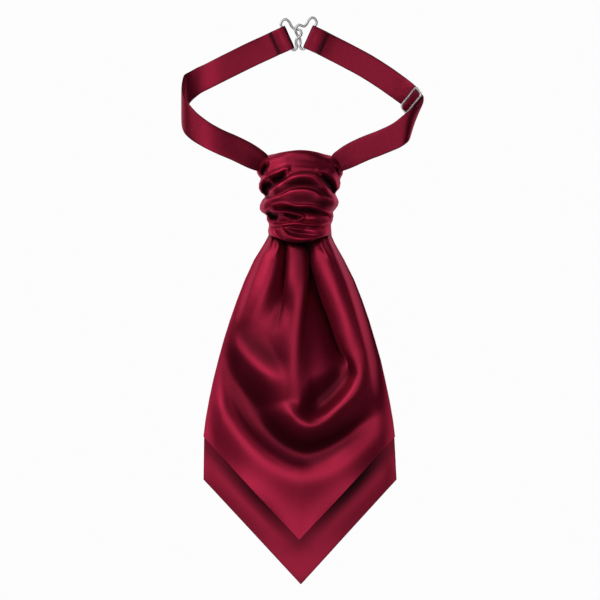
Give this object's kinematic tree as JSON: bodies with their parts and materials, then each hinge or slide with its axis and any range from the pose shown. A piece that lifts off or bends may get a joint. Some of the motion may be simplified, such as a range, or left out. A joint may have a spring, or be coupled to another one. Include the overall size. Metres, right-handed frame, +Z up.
{
  "type": "silk cravat",
  "caption": "Ready-made satin cravat with a ruched knot over two pointed tails, on a neckband with a slider and a wire hook and eye, lying flat",
  "frame": {"origin": "middle of the bounding box, on the surface that the cravat lies on", "axes": "+Z up, face of the cravat up; the neckband's clasp is at +Y and the tails' points at -Y; +X is to the right in the picture"},
  "size_m": [0.1932, 0.4538, 0.0348],
  "materials": {
    "satin": "burgundy satin weave",
    "nickel": "bright nickel-plated wire"
  },
  "bodies": {
    "root": {"tail_front": "satin", "tail_back": "satin", "knot_core": "satin", "knot_crown": "satin", "knot_fold_left": "satin", "knot_fold_right": "satin", "knot_swag_upper": "satin", "knot_swag_middle": "satin", "knot_swag_lower": "satin", "knot_crinkle": "satin", "knot_low_roll": "satin", "knot_wrap": "satin", "knot_ear_left": "satin", "knot_ear_right": "satin", "strap_left": "satin", "strap_right": "satin", "strap_end_left": "satin", "strap_end_right": "satin", "slider_frame": "nickel", "slider_bar": "nickel", "clasp_eye": "nickel", "clasp_hook": "nickel"}
  },
  "joints": []
}
